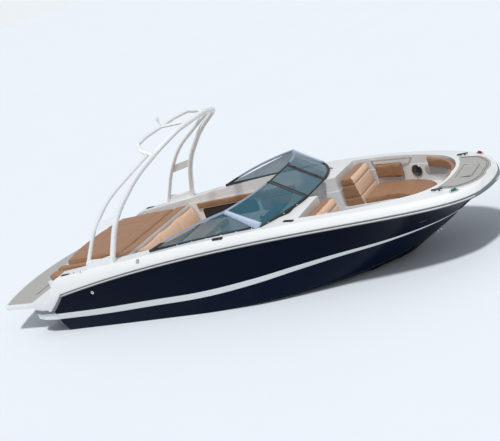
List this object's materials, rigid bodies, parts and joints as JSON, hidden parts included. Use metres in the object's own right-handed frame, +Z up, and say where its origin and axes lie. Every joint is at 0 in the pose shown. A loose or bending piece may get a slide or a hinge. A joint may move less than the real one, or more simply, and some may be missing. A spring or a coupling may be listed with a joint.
{
  "type": "open-bow speedboat with a wake tower and stern drive",
  "caption": "Open-bow sport boat with a forward-swept tower, raked windshield, swim platform and a steerable, tilting stern drive.",
  "frame": {"origin": "on the centreline at the foot of the transom, at the height of the waterline", "axes": "+X to the bow, +Y to port, +Z up"},
  "size_m": [8.0048, 2.5862, 3.3453],
  "materials": {
    "hull_navy": "polished gelcoat",
    "gelcoat_white": "gloss gelcoat",
    "rail_vinyl": "semi-matt with a bright insert",
    "mat_grey": "woven foam decking",
    "vinyl_tan": "soft grained vinyl",
    "vinyl_cream": "soft grained vinyl",
    "glass_tint": "tinted",
    "frame_alloy": "satin anodised",
    "tower_white": "powder coat",
    "polished_steel": "polished",
    "drive_black": "satin",
    "engine_grey": "painted",
    "black_plastic": "satin"
  },
  "bodies": {
    "boat": {"aft_deck": "gelcoat_white", "bench_back": "vinyl_tan", "bench_base": "gelcoat_white", "bench_seat": "vinyl_cream", "bow_bolsters": "vinyl_tan", "bow_eye": "polished_steel", "bow_mat": "mat_grey", "bow_rails": "polished_steel", "cleats": "polished_steel", "cockpit_liner": "gelcoat_white", "dash": "black_plastic", "deck": "gelcoat_white", "engine_block": "engine_grey", "floor_mat": "mat_grey", "gunwale_pads": "vinyl_tan", "helm_pedestal": "gelcoat_white", "hull": "hull_navy", "platform_extension": "gelcoat_white", "platform_mat": "mat_grey", "port_aft_leg": "tower_white", "port_bow_back": "vinyl_cream", "port_bow_cushion": "vinyl_tan", "port_console": "gelcoat_white", "port_front_glass": "glass_tint", "port_lounge_base": "gelcoat_white", "port_lounge_seat": "vinyl_cream", "port_side_glass": "glass_tint", "port_tower_fairing": "tower_white", "port_windshield_frame": "frame_alloy", "rub_rail": "rail_vinyl", "starboard_aft_leg": "tower_white", "starboard_bow_back": "vinyl_cream", "starboard_bow_cushion": "vinyl_tan", "starboard_console": "gelcoat_white", "starboard_front_glass": "glass_tint", "starboard_side_glass": "glass_tint", "starboard_tower_fairing": "tower_white", "starboard_windshield_frame": "frame_alloy", "stern_moulding": "gelcoat_white", "throttle": "black_plastic", "tower_arch": "tower_white", "tower_hoop": "tower_white", "tower_light": "tower_white", "transom_bracket": "drive_black", "walkway_pads": "vinyl_tan"},
    "gimbal": {"gimbal_ring": "drive_black"},
    "drive": {"drive_leg": "drive_black"},
    "prop": {"propeller": "polished_steel"},
    "port_cylinder": {"port_trim_cylinder": "drive_black"},
    "port_rod": {"port_trim_rod": "polished_steel"},
    "starboard_cylinder": {"starboard_trim_cylinder": "drive_black"},
    "starboard_rod": {"starboard_trim_rod": "polished_steel"},
    "wheel": {"steering_wheel": "black_plastic"},
    "engine_cover": {"engine_hatch": "gelcoat_white", "sun_pad": "vinyl_tan"},
    "anchor_cover": {"anchor_lid": "gelcoat_white"},
    "gate": {"gate_frame": "frame_alloy", "gate_glass": "glass_tint"},
    "helm_chair": {"helm_seat": "gelcoat_white", "helm_cushions": "vinyl_cream"}
  },
  "joints": [
    {"name": "drive_steer", "type": "hinge", "parent": "boat", "child": "gimbal", "pos_m": [-0.15, 0, 0.06], "axis": [0, 0, 1], "range_deg": [-28, 28]},
    {"name": "drive_tilt", "type": "hinge", "parent": "gimbal", "child": "drive", "pos_m": [-0.15, 0, 0.06], "axis": [0, 1, 0], "range_deg": [-4, 42]},
    {"name": "prop_spin", "type": "hinge", "parent": "drive", "child": "prop", "pos_m": [-0.585, 0, -0.59], "axis": [1, 0, 0], "continuous": true},
    {"name": "wheel_turn", "type": "hinge", "parent": "boat", "child": "wheel", "pos_m": [3.47, -0.585, 0.8], "axis": [0.866, 0, -0.5], "range_deg": [-630, 630]},
    {"name": "engine_cover_hinge", "type": "hinge", "parent": "boat", "child": "engine_cover", "pos_m": [-0.124, 0, 0.79], "axis": [0, -1, 0], "range_deg": [0, 55]},
    {"name": "anchor_cover_hinge", "type": "hinge", "parent": "boat", "child": "anchor_cover", "pos_m": [6.15, 0, 0.955], "axis": [0, -1, 0], "range_deg": [0, 100]},
    {"name": "gate_hinge", "type": "hinge", "parent": "boat", "child": "gate", "pos_m": [4.19198, 0.279, 1.11445], "axis": [-0.8386, 0, 0.5447], "range_deg": [0, 160]},
    {"name": "helm_chair_swivel", "type": "hinge", "parent": "boat", "child": "helm_chair", "pos_m": [2.95, -0.585, 0.36], "axis": [0, 0, 1], "range_deg": [-180, 180]},
    {"name": "port_cylinder_pivot", "type": "hinge", "parent": "gimbal", "child": "port_cylinder", "pos_m": [-0.195, 0.182, -0.085], "axis": [0, 1, 0], "range_deg": [-4.2, 41.28]},
    {"name": "port_rod_slide", "type": "slide", "parent": "port_cylinder", "child": "port_rod", "axis": [-0.9985, 0, 0.0545], "range_m": [-0.011, 0.111]},
    {"name": "starboard_cylinder_pivot", "type": "hinge", "parent": "gimbal", "child": "starboard_cylinder", "pos_m": [-0.195, -0.182, -0.085], "axis": [0, 1, 0], "range_deg": [-4.2, 41.28]},
    {"name": "starboard_rod_slide", "type": "slide", "parent": "starboard_cylinder", "child": "starboard_rod", "axis": [-0.9985, 0, 0.0545], "range_m": [-0.011, 0.111]}
  ],
  "couplings": [
    {"joint": "wheel_turn", "follows": "drive_steer", "ratio": 22.5},
    {"joint": "port_cylinder_pivot", "follows": "drive_tilt", "ratio": 0.9756},
    {"joint": "port_rod_slide", "follows": "drive_tilt", "m_per_rad": 0.15068},
    {"joint": "starboard_cylinder_pivot", "follows": "drive_tilt", "ratio": 0.9756},
    {"joint": "starboard_rod_slide", "follows": "drive_tilt", "m_per_rad": 0.15068}
  ]
}
